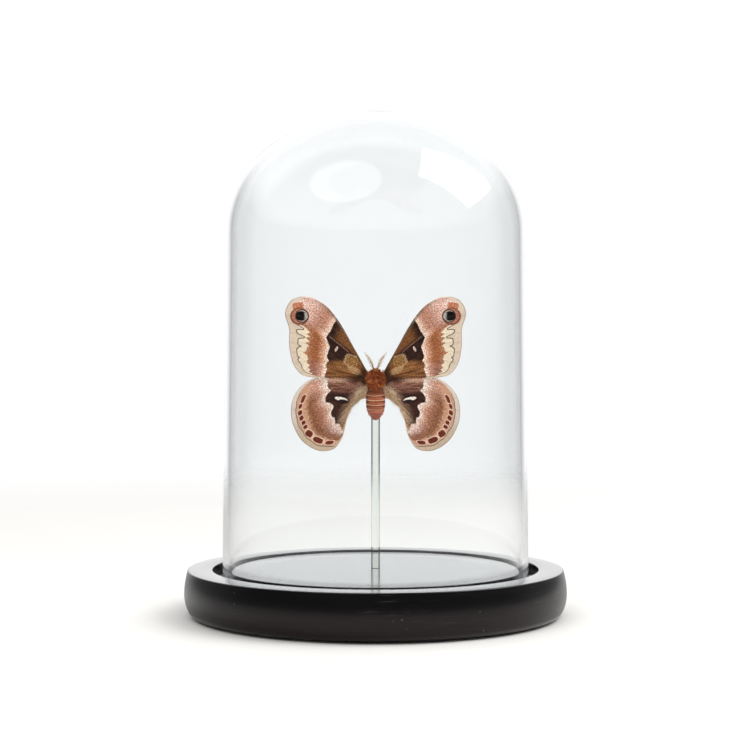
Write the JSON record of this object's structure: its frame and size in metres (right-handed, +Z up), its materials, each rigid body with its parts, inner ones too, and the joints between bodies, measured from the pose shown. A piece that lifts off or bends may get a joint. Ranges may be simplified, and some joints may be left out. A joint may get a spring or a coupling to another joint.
{
  "type": "bell jar dome",
  "caption": "Clear glass dome that lifts off a round black turned wooden base and covers a set silk moth held up on a clear rod.",
  "frame": {"origin": "bottom centre, on the surface that the felt pads stand on", "axes": "+Z up along the dome's axis; the moth faces -Y, and its right wings, as seen from the front, point to +X"},
  "size_m": [0.1518, 0.1518, 0.2],
  "materials": {
    "black_wood": "turned wood under satin black paint, light wear at the front",
    "felt": "black self-adhesive felt",
    "clear_glass": "clear polished blown glass",
    "clear_rod": "clear polished acrylic",
    "clear_glue": "clear set adhesive",
    "body_fur": "dense orange-brown fur",
    "abdomen_scales": "pinkish-brown scales in rings",
    "eye": "glossy dark compound eye",
    "antenna": "matt cream feathering",
    "forewing_scales": "matt patterned scales",
    "hindwing_scales": "matt patterned scales",
    "leg": "matt brown, hairy"
  },
  "bodies": {
    "base": {"base_board": "black_wood", "foot_pad_rear_right": "felt", "foot_pad_rear_left": "felt", "foot_pad_front_left": "felt", "foot_pad_front_right": "felt", "stem_rod": "clear_rod", "glue_bead": "clear_glue", "moth_thorax": "body_fur", "moth_head": "body_fur", "moth_eye_left": "eye", "moth_eye_right": "eye", "moth_antenna_left": "antenna", "moth_antenna_right": "antenna", "moth_forewing_left": "forewing_scales", "moth_forewing_right": "forewing_scales", "moth_hindwing_left": "hindwing_scales", "moth_hindwing_right": "hindwing_scales", "moth_abdomen": "abdomen_scales", "moth_legs_front": "leg", "moth_legs_middle": "leg", "moth_legs_rear": "leg"},
    "dome": {"glass_dome": "clear_glass"}
  },
  "joints": [
    {"name": "dome_lift", "type": "slide", "parent": "base", "child": "dome", "axis": [0, 0, 1], "range_m": [0, 0.15]}
  ]
}
